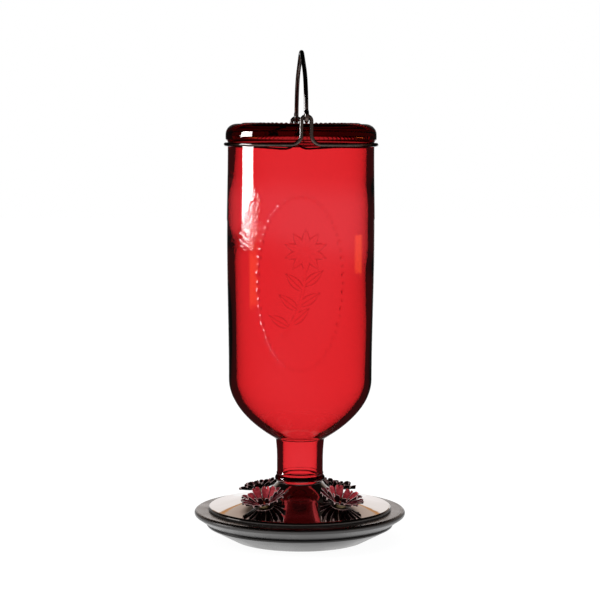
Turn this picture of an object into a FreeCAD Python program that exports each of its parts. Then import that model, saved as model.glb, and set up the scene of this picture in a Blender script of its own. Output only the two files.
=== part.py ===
import FreeCAD, Part
import math
import os

# Glass nectar feeder for hummingbirds, in millimetres.
# The Z axis runs up through the middle, and Z = 0 is the flat underside of the dish.
# The wire loops of the hanger stand at -Y (front) and +Y (back).

# Dish: flat bottom, sloping bowl, groove, cone and rolled edge with a flange turned inwards
dish_thickness = 0.8
dish_flat_radius = 33.4
dish_flat_bend = 4.0
dish_bowl_radius = 48.0
dish_bowl_height = 7.9
groove_depth = 0.4
groove_height = 1.0
groove_bend = 0.5
rim_radius = 54.1
rim_roll_radius = 1.5
dish_height = 15.4
flange_inner_radius = 44.6

# Cover: a bell that flares down from its throat, with a short skirt at the edge
cover_thickness = 0.8
cover_radius = 47.0
cover_throat_height = 29.2
cover_throat_slope = 50.0
cover_mid_radius = 27.0
cover_mid_height = 20.7
cover_mid_slope = 19.0
cover_edge_height = 16.8
cover_edge_slope = 8.0
cover_throat_bend = 20.5
cover_flare_bend = 122.0
cover_skirt_bend = 0.9
skirt_gap = 0.1

# Twist lock: lugs under the cover that turn in below the dish's flange
lug_count = 3
lug_angle = 14.0
lug_thickness = 1.0
lug_reach = 1.9
lug_gap = 0.3
lug_side_gap = 0.4
notch_angle = 18.0
notch_turn = 25.0
first_lug_angle = 90.0

# Rubber ring under the cover's edge
gasket_width = 1.2
gasket_thickness = 0.6
gasket_side_gap = 0.3

# Threaded sleeve in the cover's throat, with a ledge and a rubber washer for the bottle's mouth
collar_wall = 0.8
collar_rise = 0.5
collar_depth = 16.7
throat_gap = 0.05
ledge_thickness = 1.0
ledge_hole_radius = 7.4
seal_thickness = 1.5
seal_side_gap = 0.3
seat_gap = 0.05
thread_clearance = 0.08

# Glass bottle, mouth down
glass_wall = 4.4
finish_radius = 10.2
finish_bore_radius = 6.8
mouth_round = 0.6
bead_radius = 12.85
bead_height = 3.2
bead_gap = 0.5
neck_radius = 11.8
neck_foot_ring = 0.25
neck_foot_ring_height = 1.4
neck_straight_height = 9.8
neck_crease_radius = 12.5
neck_length = 18.6
shoulder_height = 31.0
shoulder_foot_slope = 34.0
shoulder_shape = [(0.46, 0.25), (0.72, 0.46), (0.91, 0.68)]
body_foot_radius = 36.6
body_radius = 37.6
body_belly_place = 0.62
body_length = 117.0
waist_radius = 37.1
waist_slope = 0.05
waist_height = 3.2
bulge_overhang = 1.1
bulge_step = 1.7
bulge_height = 2.4
heel_inset = 5.6
heel_height = 5.2
bearing_ring_width = 5.0
punt_depth = 1.8
heel_thickness = 6.0

# Wire ring round the bottle's waist, with one loop in front and one behind
ring_wire = 2.0
ring_gap = 0.05
ring_rise = 2.1
loop_half_width = 2.4
loop_bend = 5.1
loop_height = 13.9
loop_gap = 0.1

# Wire bail that hangs from the two loops
bail_wire = 2.2
eye_gap = 0.3
eye_turn = 255.0
bail_rise = 33.7
bail_slope = 26.0
bail_shoulder_bend = 25.0
bail_top_bend = 16.0

# Ports: a flanged eyelet in the cover, with a washer below and a flower of two layers above
port_count = 4
port_orbit = 27.0
first_port_angle = 45.0
port_bore_radius = 1.8
port_wall = 0.6
port_gap = 0.1
port_seat_gap = 0.08
port_foot_height = 1.0
port_foot_radius = 2.9
port_lip_radius = 2.9
port_lip_height = 0.6
washer_radius = 4.6
washer_thickness = 0.8
washer_gap = 0.3

# Flowers: a wide saucer of narrow petals and a cup of broad petals, both cut from thin sheet
flower_thickness = 0.5
outer_petals = 16
outer_tip_radius = 11.4
outer_tip_taper = 1.6
outer_disc_radius = 4.6
outer_bend = 5.0
outer_rise = 3.2
outer_root_radius = 5.2
outer_slit = 0.8
inner_petals = 8
inner_tip_radius = 7.9
inner_tip_taper = 1.1
inner_disc_radius = 4.7
inner_bend = 3.6
inner_rise = 4.6
inner_root_radius = 4.6
inner_slit = 0.6

# Heights and radii that follow from the sizes above
flange_under = dish_height - dish_thickness
skirt_bottom = dish_height + skirt_gap
lug_leg_radius = flange_inner_radius - lug_side_gap
lug_foot_radius = lug_leg_radius + lug_reach
collar_bore_radius = finish_radius + thread_clearance
collar_outer_radius = collar_bore_radius + collar_wall
throat_radius = collar_outer_radius + throat_gap + cover_thickness / 2
cover_bends = [cover_throat_bend, cover_flare_bend, cover_skirt_bend]
collar_top = cover_throat_height + collar_rise
collar_bottom = collar_top - collar_depth
ledge_top = collar_bottom + ledge_thickness
seal_top = ledge_top + seal_thickness
mouth_height = seal_top + seat_gap
bead_bottom = collar_top + bead_gap
neck_bottom = bead_bottom + bead_height
crease_height = neck_bottom + neck_length
body_bottom = crease_height + shoulder_height
waist_bottom = body_bottom + body_length
waist_top = waist_bottom + waist_height
bulge_radius = waist_radius + bulge_overhang
heel_radius = bulge_radius - heel_inset
bulge_bottom = waist_top + bulge_step
bulge_top = bulge_bottom + bulge_height
bottle_top = bulge_top + heel_height
ring_radius = waist_radius + ring_gap + ring_wire / 2
ring_height = waist_bottom + ring_rise
loop_y = bulge_radius + loop_gap + ring_wire / 2
loop_top = ring_height + loop_height
loop_axis_height = loop_top - loop_half_width
eye_radius = ring_wire / 2 + eye_gap + bail_wire / 2
bail_top = loop_top + bail_rise
port_radius = port_bore_radius + port_wall


def point(x, y, z):
    return FreeCAD.Vector(x, y, z)


def at(radius, height):
    """A point of a turned profile, which lies in the XZ plane."""
    return FreeCAD.Vector(radius, 0, height)


def line(start, end):
    return Part.makeLine(start, end)


def polyline(corners):
    return [line(start, end) for start, end in zip(corners, corners[1:])]


def arc(start, middle, end):
    return Part.Arc(start, middle, end).toShape()


def bent_line(corners, bends):
    """Straight runs from corner to corner, each inner corner rounded with its own bend radius."""
    edges = []
    last = corners[0]
    for before, corner, after, bend in zip(corners, corners[1:], corners[2:], bends):
        arriving = (corner - before).normalize()
        leaving = (after - corner).normalize()
        half_angle = arriving.getAngle(leaving) / 2
        setback = bend * math.tan(half_angle)
        start = corner - arriving * setback
        end = corner + leaving * setback
        inward = (leaving - arriving).normalize()
        middle = corner + inward * (bend / math.cos(half_angle) - bend)
        edges.append(line(last, start))
        edges.append(arc(start, middle, end))
        last = end
    edges.append(line(last, corners[-1]))
    return edges


def spin(face):
    """Turn a face in the XZ plane about the Z axis."""
    return face.revolve(point(0, 0, 0), point(0, 0, 1), 360)


def turned(profile):
    """Turn a closed polygon of (radius, height) pairs about the Z axis."""
    corners = [at(radius, height) for radius, height in profile]
    return spin(Part.Face(Part.makePolygon(corners + corners[:1])))


def beside(corners, bends, distance):
    """The bent line a distance to the left of another one in the XZ plane."""
    runs = [(end - start).normalize() for start, end in zip(corners, corners[1:])]
    lefts = [at(-run.z, run.x) for run in runs]
    side_corners = [corners[0] + lefts[0] * distance]
    side_bends = []
    for corner, before, after, bend in zip(corners[1:], lefts, lefts[1:], bends):
        side_corners.append(corner + (before + after) * (distance / (1 + before.dot(after))))
        turn = math.copysign(1, before.x * after.z - before.z * after.x)
        side_bends.append(bend - turn * distance)
    side_corners.append(corners[-1] + lefts[-1] * distance)
    return side_corners, side_bends


def sheet(corners, bends, thickness):
    """The section of a bent sheet whose middle line runs from corner to corner."""
    left_corners, left_bends = beside(corners, bends, thickness / 2)
    right_corners, right_bends = beside(corners, bends, -thickness / 2)
    edges = bent_line(left_corners, left_bends)
    edges.append(line(left_corners[-1], right_corners[-1]))
    edges.extend(bent_line(right_corners[::-1], right_bends[::-1]))
    edges.append(line(right_corners[0], left_corners[0]))
    return Part.Face(Part.Wire(edges))


def rod(edges, diameter):
    """Round wire along lines and arcs that run into one another: rods and pieces of rings."""
    pieces = []
    for edge in edges:
        start = edge.valueAt(edge.FirstParameter)
        direction = edge.tangentAt(edge.FirstParameter)
        if isinstance(edge.Curve, Part.Line):
            pieces.append(Part.makeCylinder(diameter / 2, edge.Length, start, direction))
        else:
            section = Part.Face(Part.Wire([Part.makeCircle(diameter / 2, start, direction)]))
            circle = edge.Curve
            degrees = math.degrees(edge.Length / circle.Radius)
            pieces.append(section.revolve(circle.Center, circle.Axis, degrees))
    return pieces[0].multiFuse(pieces[1:]).removeSplitter()


def ring_sector(inner, outer, bottom, top, degrees, middle_angle):
    """A block of a ring, centred on an angle about the Z axis."""
    corners = [at(inner, bottom), at(outer, bottom), at(outer, top), at(inner, top)]
    face = Part.Face(Part.makePolygon(corners + corners[:1]))
    block = face.revolve(point(0, 0, 0), point(0, 0, 1), degrees)
    block.rotate(point(0, 0, 0), point(0, 0, 1), middle_angle - degrees / 2)
    return block


def moved(shape, placement):
    copy = shape.copy()
    copy.Placement = placement.multiply(copy.Placement)
    return copy


def rim_corner(foot):
    """Where the cone and the flange would meet if the rolled edge were sharp."""
    roll = rim_roll_radius - dish_thickness / 2
    centre = at(rim_radius - rim_roll_radius, dish_height - rim_roll_radius)
    across = centre - foot
    lean = math.atan2(across.z, across.x) - math.asin(roll / across.Length)
    height = dish_height - dish_thickness / 2
    return at(foot.x + (height - foot.z) / math.tan(lean), height)


def lug_angles():
    return [first_lug_angle + index * 360 / lug_count for index in range(lug_count)]


def make_dish():
    """One spun sheet, with notches in its flange that let the cover's lugs in."""
    half = dish_thickness / 2
    bowl_edge = at(dish_bowl_radius - half, dish_bowl_height)
    groove = at(bowl_edge.x - groove_depth, bowl_edge.z + groove_height)
    corners = [
        at(0, half),
        at(dish_flat_radius, half),
        bowl_edge,
        groove,
        rim_corner(groove),
        at(flange_inner_radius, dish_height - half),
    ]
    bends = [dish_flat_bend, groove_bend, groove_bend, rim_roll_radius - half]
    dish = spin(sheet(corners, bends, dish_thickness))
    inner = flange_inner_radius - dish_thickness
    outer = lug_foot_radius + lug_side_gap
    bottom = flange_under - dish_thickness
    top = dish_height + dish_thickness
    for angle in lug_angles():
        dish = dish.cut(ring_sector(inner, outer, bottom, top, notch_angle, angle + notch_turn))
    return dish


def meeting(first, first_slope, second, second_slope):
    """Where two lines of the XZ plane meet, each given by a point and its downward slope."""
    fall_1 = math.tan(math.radians(first_slope))
    fall_2 = math.tan(math.radians(second_slope))
    radius = (first.z - second.z + fall_1 * first.x - fall_2 * second.x) / (fall_1 - fall_2)
    return at(radius, first.z - fall_1 * (radius - first.x))


def cover_corners():
    """Middle line of the bell: steep at the throat, then flatter and flatter to the skirt."""
    throat = at(throat_radius, cover_throat_height)
    middle = at(cover_mid_radius, cover_mid_height)
    edge = at(cover_radius - cover_thickness / 2, cover_edge_height)
    return [
        throat,
        meeting(throat, cover_throat_slope, middle, cover_mid_slope),
        meeting(middle, cover_mid_slope, edge, cover_edge_slope),
        edge,
        at(edge.x, skirt_bottom),
    ]


def cover_point(radius):
    """The bell's middle line at a radius: the point there and the upward normal."""
    upright = line(at(radius, 0), at(radius, 2 * cover_throat_height))
    edges = bent_line(cover_corners(), cover_bends)
    edge = min(edges, key=lambda candidate: candidate.distToShape(upright)[0])
    found = edge.distToShape(upright)[1][0][0]
    along = edge.tangentAt(edge.Curve.parameter(found))
    return found, at(-along.z, along.x) * math.copysign(1, along.x)


def make_lug(angle):
    """A bent tab: a leg down through the flange and a foot turned out below it."""
    inner = lug_leg_radius - lug_thickness
    root = cover_point(lug_leg_radius)[0].z
    foot_top = flange_under - lug_gap
    foot_bottom = foot_top - lug_thickness
    leg = ring_sector(inner, lug_leg_radius, foot_bottom, root, lug_angle, angle)
    foot = ring_sector(inner, lug_foot_radius, foot_bottom, foot_top, lug_angle, angle)
    return leg.fuse(foot)


def make_cover():
    cover = spin(sheet(cover_corners(), cover_bends, cover_thickness))
    hole = Part.makeCylinder(
        port_radius + port_gap, 6 * cover_thickness, point(0, 0, -3 * cover_thickness))
    for index in range(port_count):
        cover = cover.cut(moved(hole, port_placement(index)))
    for angle in lug_angles():
        cover = cover.fuse(make_lug(angle))
    return cover.removeSplitter()


def make_gasket():
    inner = flange_inner_radius + gasket_side_gap
    outer = inner + gasket_width
    top = dish_height + gasket_thickness
    return turned([(inner, dish_height), (outer, dish_height), (outer, top), (inner, top)])


def make_collar():
    return turned([
        (ledge_hole_radius, collar_bottom),
        (collar_outer_radius, collar_bottom),
        (collar_outer_radius, collar_top),
        (collar_bore_radius, collar_top),
        (collar_bore_radius, ledge_top),
        (ledge_hole_radius, ledge_top),
    ])


def make_seal():
    outer = collar_bore_radius - seal_side_gap
    return turned([
        (ledge_hole_radius, ledge_top),
        (outer, ledge_top),
        (outer, seal_top),
        (ledge_hole_radius, seal_top),
    ])


def shoulder_curve(foot_radius, top_radius, foot, top):
    """A blown shoulder: it leaves the neck at a slope and ends level with the body's wall."""
    slope = math.radians(shoulder_foot_slope)
    points = [at(foot_radius, foot)]
    for across, up in shoulder_shape:
        radius = foot_radius + across * (top_radius - foot_radius)
        points.append(at(radius, foot + up * (top - foot)))
    points.append(at(top_radius, top))
    curve = Part.BSplineCurve()
    curve.interpolate(
        Points=points,
        InitialTangent=at(math.cos(slope), math.sin(slope)),
        FinalTangent=at(0, 1))
    return curve.toShape()


def body_curve(wall):
    """The body's long side, a little wider in its upper part, at a depth below the surface."""
    curve = Part.BSplineCurve()
    curve.interpolate(
        Points=[
            at(body_foot_radius - wall, body_bottom),
            at(body_radius - wall, body_bottom + body_belly_place * body_length),
            at(waist_radius - wall, waist_bottom),
        ],
        InitialTangent=at(0, 1),
        FinalTangent=at(-waist_slope, 1))
    return curve.toShape()


def heel_arc(foot, head):
    """The round corner from the side to the flat end."""
    eighth = math.radians(45)
    radius = head.x + (foot.x - head.x) * math.cos(eighth)
    height = foot.z + (head.z - foot.z) * math.sin(eighth)
    return arc(foot, at(radius, height), head)


def bottle_outside():
    """The outer edge of the section, from the mouth up to the middle of the closed end."""
    flat_radius = bead_radius - bead_height / 2
    ring_glass = neck_radius + neck_foot_ring
    ring_top = neck_bottom + neck_foot_ring_height
    finish = [
        at(finish_bore_radius, mouth_height),
        at(finish_radius - mouth_round, mouth_height),
        at(finish_radius, mouth_height + mouth_round),
        at(finish_radius, bead_bottom),
        at(flat_radius, bead_bottom),
    ]
    neck = [
        at(flat_radius, neck_bottom),
        at(ring_glass, neck_bottom),
        at(ring_glass, ring_top),
        at(neck_radius, ring_top + neck_foot_ring),
        at(neck_radius, neck_bottom + neck_straight_height),
        at(neck_crease_radius, crease_height),
    ]
    bead_side = at(bead_radius, bead_bottom + bead_height / 2)
    waist_head = at(waist_radius, waist_top)
    bulge_foot = at(bulge_radius, bulge_bottom)
    bulge_head = at(bulge_radius, bulge_top)
    heel_head = at(heel_radius, bottle_top)
    bearing_edge = at(heel_radius - bearing_ring_width, bottle_top)
    punt = at(0, bottle_top - punt_depth)
    punt_sphere = (bearing_edge.x ** 2 + punt_depth ** 2) / (2 * punt_depth)
    half_way = bearing_edge.x / 2
    punt_side = at(half_way, punt.z + punt_sphere - math.sqrt(punt_sphere ** 2 - half_way ** 2))
    edges = polyline(finish)
    edges.append(arc(finish[-1], bead_side, neck[0]))
    edges.extend(polyline(neck))
    edges.append(shoulder_curve(neck_crease_radius, body_foot_radius, crease_height, body_bottom))
    edges.append(body_curve(0))
    edges.extend(polyline([at(waist_radius, waist_bottom), waist_head, bulge_foot, bulge_head]))
    edges.append(heel_arc(bulge_head, heel_head))
    edges.append(line(heel_head, bearing_edge))
    edges.append(arc(bearing_edge, punt_side, punt))
    return edges


def bottle_inside():
    """The inner edge of the section, from the mouth up to the middle of the closed end."""
    foot = crease_height - glass_wall
    ceiling = bottle_top - heel_thickness
    side = waist_radius - glass_wall
    corner = at(side, ceiling - heel_height)
    flat_edge = at(side - heel_height, ceiling)
    return [
        line(at(finish_bore_radius, mouth_height), at(finish_bore_radius, foot)),
        shoulder_curve(finish_bore_radius, body_foot_radius - glass_wall, foot, body_bottom),
        body_curve(glass_wall),
        line(at(side, waist_bottom), corner),
        heel_arc(corner, flat_edge),
        line(flat_edge, at(0, ceiling)),
    ]


def make_bottle():
    axis = line(at(0, bottle_top - heel_thickness), at(0, bottle_top - punt_depth))
    edges = bottle_outside() + bottle_inside() + [axis]
    return spin(Part.Face(Part.Wire(Part.sortEdges(edges)[0])))


def loop_leg(side):
    """Path of the wire from the ring to the top of a loop's leg; side is 1 or -1."""
    leave = ring_leaving_angle()
    return [
        point(side * ring_radius * math.sin(leave), -ring_radius * math.cos(leave), ring_height),
        point(side * loop_half_width, -loop_y, ring_height),
        point(side * loop_half_width, -loop_y, loop_axis_height),
    ]


def ring_leaving_angle():
    """Angle from the loop at which a line that touches the ring runs to the loop's foot."""
    reach = math.hypot(loop_half_width, loop_y)
    return math.pi - math.asin(ring_radius / reach) - math.atan2(loop_y, loop_half_width)


def make_hanger_ring():
    """Two equal halves of one wire, each with the loop of its own side, welded end to end."""
    right = loop_leg(1)
    left = loop_leg(-1)
    between = math.pi / 4 + ring_leaving_angle() / 2
    along = ring_radius * math.sin(between)
    aside = -ring_radius * math.cos(between)
    path = [arc(point(ring_radius, 0, ring_height), point(along, aside, ring_height), right[0])]
    path.extend(bent_line(right, [loop_bend]))
    path.append(arc(right[-1], point(0, -loop_y, loop_top), left[-1]))
    path.extend(bent_line(left[::-1], [loop_bend]))
    path.append(arc(left[0], point(-along, aside, ring_height), point(-ring_radius, 0, ring_height)))
    half = rod(path, ring_wire)
    other = half.copy()
    other.rotate(point(0, 0, 0), point(0, 0, 1), 180)
    return half.fuse(other).removeSplitter()


def make_bail():
    """One wire: an eye, a shoulder, two slopes with a rounded peak, a shoulder and an eye."""
    leg_y = loop_y - eye_radius
    slope = math.radians(bail_slope)
    peak = bail_top - bail_wire / 2 + bail_top_bend * (1 / math.cos(slope) - 1)
    shoulder = peak - leg_y * math.tan(slope)
    arch = bent_line(
        [
            point(0, -leg_y, loop_top),
            point(0, -leg_y, shoulder),
            point(0, 0, peak),
            point(0, leg_y, shoulder),
            point(0, leg_y, loop_top),
        ],
        [bail_shoulder_bend, bail_top_bend, bail_shoulder_bend])
    return rod([eye_arc(-1)] + arch + [eye_arc(1)], bail_wire)


def eye_arc(side):
    """Path of the eye round a loop's wire, from its free end to the leg or the other way."""
    def around(degrees):
        angle = math.radians(degrees)
        y = side * (loop_y - eye_radius * math.cos(angle))
        return point(0, y, loop_top - eye_radius * math.sin(angle))
    free_end = around(eye_turn)
    middle = around(eye_turn / 2)
    leg = around(0)
    return arc(free_end, middle, leg) if side < 0 else arc(leg, middle, free_end)


def port_placement(index):
    """Puts a piece made along +Z from the origin onto the cover at one port."""
    foot, normal = cover_point(port_orbit)
    surface = foot + normal * (cover_thickness / 2)
    tilt = math.degrees(math.atan2(normal.x, normal.z))
    angle = first_port_angle + index * 360 / port_count
    on_slope = FreeCAD.Placement(surface, FreeCAD.Rotation(point(0, 1, 0), tilt))
    round_axis = FreeCAD.Placement(point(0, 0, 0), FreeCAD.Rotation(point(0, 0, 1), angle))
    return round_axis.multiply(on_slope)


def make_port_tube():
    """Eyelet: a foot on the cover, a lip over the flower and a lip rolled below the washer."""
    washer_bottom = -cover_thickness - washer_gap - washer_thickness
    bottom = washer_bottom - port_lip_height
    flower_top = port_foot_height + 2 * flower_thickness
    top = flower_top + port_lip_height
    return turned([
        (port_bore_radius, bottom),
        (port_lip_radius, bottom),
        (port_lip_radius, washer_bottom),
        (port_radius, washer_bottom),
        (port_radius, port_seat_gap),
        (port_foot_radius, port_seat_gap),
        (port_foot_radius, port_foot_height),
        (port_radius, port_foot_height),
        (port_radius, flower_top),
        (port_lip_radius, flower_top),
        (port_lip_radius, top),
        (port_bore_radius, top),
    ])


def make_port_washer():
    top = -cover_thickness - washer_gap
    bottom = top - washer_thickness
    return turned([
        (port_radius, bottom),
        (washer_radius, bottom),
        (washer_radius, top),
        (port_radius, top),
    ])


def petal_outline(count, root_radius, shoulder_radius, tip_radius, slit):
    """Plan of a ring of petals with round ends, parted by slits that narrow to a point."""
    half = math.pi / count
    side = half - math.asin(slit / 2 / shoulder_radius)

    def plan(radius, angle):
        return point(radius * math.cos(angle), radius * math.sin(angle), 0)

    edges = []
    for index in range(count):
        middle = 2 * math.pi * index / count
        root = plan(root_radius, middle - half)
        right = plan(shoulder_radius, middle - side)
        left = plan(shoulder_radius, middle + side)
        edges.append(line(root, right))
        edges.append(arc(right, plan(tip_radius, middle), left))
        edges.append(line(left, plan(root_radius, middle + half)))
    return Part.Face(Part.Wire(edges))


def flower_layer(base, disc_radius, bend, tip_radius, rise, outline):
    """A dished sheet on the eyelet, trimmed to the plan of its petals."""
    middle = base + flower_thickness / 2
    run = tip_radius - disc_radius
    beyond = at(tip_radius + run / 4, middle + rise * 1.25)
    corners = [at(port_radius, middle), at(disc_radius, middle), beyond]
    dished = spin(sheet(corners, [bend], flower_thickness))
    height = 3 * (rise + flower_thickness)
    cutter = outline.extrude(point(0, 0, height))
    cutter.translate(point(0, 0, base - flower_thickness))
    return dished.common(cutter)


def make_flower_outer():
    outline = petal_outline(
        outer_petals, outer_root_radius, outer_tip_radius - outer_tip_taper, outer_tip_radius,
        outer_slit)
    return flower_layer(
        port_foot_height, outer_disc_radius, outer_bend, outer_tip_radius, outer_rise, outline)


def make_flower_inner():
    outline = petal_outline(
        inner_petals, inner_root_radius, inner_tip_radius - inner_tip_taper, inner_tip_radius,
        inner_slit)
    base = port_foot_height + flower_thickness
    return flower_layer(
        base, inner_disc_radius, inner_bend, inner_tip_radius, inner_rise, outline)


def export(name, shape):
    shape.exportStep(os.path.join("parts", name + ".step"))


os.makedirs("parts", exist_ok=True)
export("dish", make_dish())
export("cover_gasket", make_gasket())
export("cover", make_cover())
export("collar", make_collar())
export("bottle_seal", make_seal())
export("bottle", make_bottle())
export("hanger_ring", make_hanger_ring())
export("bail", make_bail())

port_pieces = {
    "port_tube": make_port_tube(),
    "port_washer": make_port_washer(),
    "flower_outer": make_flower_outer(),
    "flower_inner": make_flower_inner(),
}
for index in range(port_count):
    placement = port_placement(index)
    for name, piece in port_pieces.items():
        export(name + "_" + str(index + 1), moved(piece, placement))
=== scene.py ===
import math
import bpy
import numpy as np
from mathutils import Matrix, Vector


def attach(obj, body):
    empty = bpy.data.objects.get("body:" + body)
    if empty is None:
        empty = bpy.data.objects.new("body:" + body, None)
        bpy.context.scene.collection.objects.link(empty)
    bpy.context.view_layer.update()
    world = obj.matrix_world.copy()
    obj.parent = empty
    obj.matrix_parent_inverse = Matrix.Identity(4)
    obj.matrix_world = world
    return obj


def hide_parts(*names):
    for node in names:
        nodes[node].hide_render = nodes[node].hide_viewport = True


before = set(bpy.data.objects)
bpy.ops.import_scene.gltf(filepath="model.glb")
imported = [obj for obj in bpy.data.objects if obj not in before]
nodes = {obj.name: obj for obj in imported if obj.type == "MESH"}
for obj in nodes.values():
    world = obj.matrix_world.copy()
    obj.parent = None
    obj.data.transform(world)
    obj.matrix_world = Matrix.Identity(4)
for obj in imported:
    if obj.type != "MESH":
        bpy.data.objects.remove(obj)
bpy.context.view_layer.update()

# Camera: a long lens on a stand in front of the feeder, a little above the middle of the bottle.
# The feeder's front loop of wire is turned a few degrees to the right of the lens.
PICTURE_PIXELS = 600
SENSOR_WIDTH = 36.0
FOCAL_PIXELS = 1906.6
CAMERA_TURN = math.radians(3.8)
CAMERA_DISTANCE = 0.969
CAMERA_HEIGHT = 0.2042
CAMERA_ROLL = math.radians(0.2)
AIM_HEIGHT = 0.1231
AIM_LEFT = 0.00026

camera_side = Vector((math.cos(CAMERA_TURN), -math.sin(CAMERA_TURN), 0.0))
camera_away = Vector((math.sin(CAMERA_TURN), math.cos(CAMERA_TURN), 0.0))
camera_place = Vector((0.0, 0.0, CAMERA_HEIGHT)) - camera_away * CAMERA_DISTANCE
aim = Vector((0.0, 0.0, AIM_HEIGHT)) - camera_side * AIM_LEFT
bpy.ops.object.camera_add(location=camera_place)
camera = bpy.context.object
camera.name = "camera"
camera.rotation_mode = "QUATERNION"
look = (aim - camera_place).to_track_quat("-Z", "Y")
camera.rotation_quaternion = look @ Matrix.Rotation(CAMERA_ROLL, 4, "Z").to_quaternion()
camera.data.sensor_width = SENSOR_WIDTH
camera.data.lens = FOCAL_PIXELS / PICTURE_PIXELS * SENSOR_WIDTH
camera.data.clip_start = 0.01
camera.data.clip_end = 100.0
bpy.context.scene.camera = camera
bpy.context.scene.view_settings.view_transform = "Standard"

# Studio room: a white sweep behind the feeder under a brown beam, a dark ceiling and dim sides.
# The lens sees plain white; metal and glass see the room and the bright window of a softbox.
# Each ray gets its light by its kind, its heading and the number of glass faces it has crossed.
ROOM_LIGHT = 0.6
METAL_DIM = 0.3
GLASS_DIM = 0.012
THROUGH_DIM = 0.04
ONE_WALL = 2
STEEP_THROUGH = (0.8, 0.93)
SIDE_THROUGH = 0.75
STRAIGHT_ON = (0.965, 0.99)
AFTER_MIRROR = 0.06
SWEEP_SIDE = (0.93, 0.985)
SWEEP_IN_GLASS = 0.1
CEILING_EDGE = (0.3, 0.44)
CEILING_RED = 0.42
WINDOW_LIGHT = 26.0
WINDOW_SOFT = 2.0
WINDOW_AGAIN = 0.015
WINDOW_SIDE = (-0.17, 0.24)
WINDOW_FOOT = (-0.042, -0.02)
WINDOW_TOP = 0.34
FIRST_MIRROR = 2
LEVEL = (1.0, 1.0, 0.0)
ROOM_BANDS = [
    (0.0, (0.95, 0.91, 0.9)), (0.296, (0.9, 0.86, 0.84)), (0.303, (0.5, 0.25, 0.1)),
    (0.32, (0.55, 0.29, 0.13)), (0.33, (0.52, 0.43, 0.37)), (0.39, (0.44, 0.35, 0.3)),
    (0.44, (0.07, 0.05, 0.04)), (0.55, (0.015, 0.012, 0.01)), (1.0, (0.012, 0.01, 0.01))]


def tree_math(tree, operation, first, second):
    node = tree.nodes.new("ShaderNodeMath")
    node.operation = operation
    for socket, value in zip(node.inputs, (first, second)):
        if isinstance(value, float):
            socket.default_value = value
        else:
            tree.links.new(value, socket)
    return node.outputs[0]


def tree_product(tree, first, *others):
    for other in others:
        first = tree_math(tree, "MULTIPLY", first, other)
    return first


def tree_sum(tree, first, *others):
    for other in others:
        first = tree_math(tree, "ADD", first, other)
    return first


def tree_vector(tree, operation, first, second=None):
    """Vector arithmetic; a length comes out as a number, anything else as a vector."""
    node = tree.nodes.new("ShaderNodeVectorMath")
    node.operation = operation
    partner = node.inputs["Scale" if operation == "SCALE" else 1]
    for socket, value in ((node.inputs[0], first), (partner, second)):
        if isinstance(value, tuple):
            socket.default_value = value
        elif value is not None:
            tree.links.new(value, socket)
    return node.outputs["Value" if operation == "LENGTH" else "Vector"]


def tree_step(tree, value, start, end, low, high):
    """A soft step from low to high; low and high are numbers or sockets."""
    node = tree.nodes.new("ShaderNodeMapRange")
    node.interpolation_type = "SMOOTHSTEP"
    tree.links.new(value, node.inputs["Value"])
    node.inputs["From Min"].default_value = start
    node.inputs["From Max"].default_value = end
    for name, bound in (("To Min", low), ("To Max", high)):
        if isinstance(bound, float):
            node.inputs[name].default_value = bound
        else:
            tree.links.new(bound, node.inputs[name])
    return node.outputs[0]


def tree_pick(tree, flag, if_not, if_so):
    """One of two values, by a flag that is 0 or 1."""
    return tree_step(tree, flag, 0.0, 1.0, if_not, if_so)


def more_than(tree, count, steps):
    """1 where a whole count is above the given number of steps."""
    return tree_math(tree, "GREATER_THAN", count, steps + 0.5)


def split_axes(tree, vector):
    axes = tree.nodes.new("ShaderNodeSeparateXYZ")
    tree.links.new(vector, axes.inputs[0])
    return axes.outputs


def turned_to_lens(tree, kind):
    """A point or a heading as it lies when the lens looks along +Y."""
    place = tree.nodes.new("ShaderNodeTexCoord")
    turn = tree.nodes.new("ShaderNodeMapping")
    turn.inputs["Rotation"].default_value = (0.0, 0.0, CAMERA_TURN)
    tree.links.new(place.outputs[kind], turn.inputs["Vector"])
    return turn.outputs[0]


def mirror_ray(tree, path):
    """1 for a ray that leaves metal or glass as from a mirror, not for one that went through."""
    not_matt = tree_math(tree, "SUBTRACT", 1.0, path["Is Diffuse Ray"])
    return tree_product(tree, path["Is Reflection Ray"], not_matt)


def dim_side(tree, path):
    """How dark the sides are: glass sees them darker than metal."""
    return tree_pick(tree, path["Is Singular Ray"], METAL_DIM, GLASS_DIM)


def past_walls(tree, path, behind):
    """White for a ray that crossed the whole bottle, or that goes on straight behind it."""
    crossed = more_than(tree, path["Transmission Depth"], ONE_WALL)
    slanted = tree_step(tree, behind, *STEEP_THROUGH, SIDE_THROUGH, 1.0)
    straight = tree_step(tree, behind, *STRAIGHT_ON, 0.0, 1.0)
    passed = tree_math(tree, "MAXIMUM", tree_pick(tree, crossed, 0.0, slanted), straight)
    mirrored = more_than(tree, path["Glossy Depth"], 0)
    bright = tree_pick(tree, mirrored, 1.0, AFTER_MIRROR)
    return tree_step(tree, passed, 0.0, 1.0, THROUGH_DIM, bright)


world = bpy.data.worlds.new("studio_room")
bpy.context.scene.world = world
world.use_nodes = True
room = world.node_tree
room.nodes.clear()
room_path = room.nodes.new("ShaderNodeLightPath").outputs
room_place = turned_to_lens(room, "Generated")
room_axes = split_axes(room, room_place)
room_heading = tree_vector(room, "NORMALIZE", tree_vector(room, "MULTIPLY", room_place, LEVEL))
room_compass = split_axes(room, room_heading)

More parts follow.
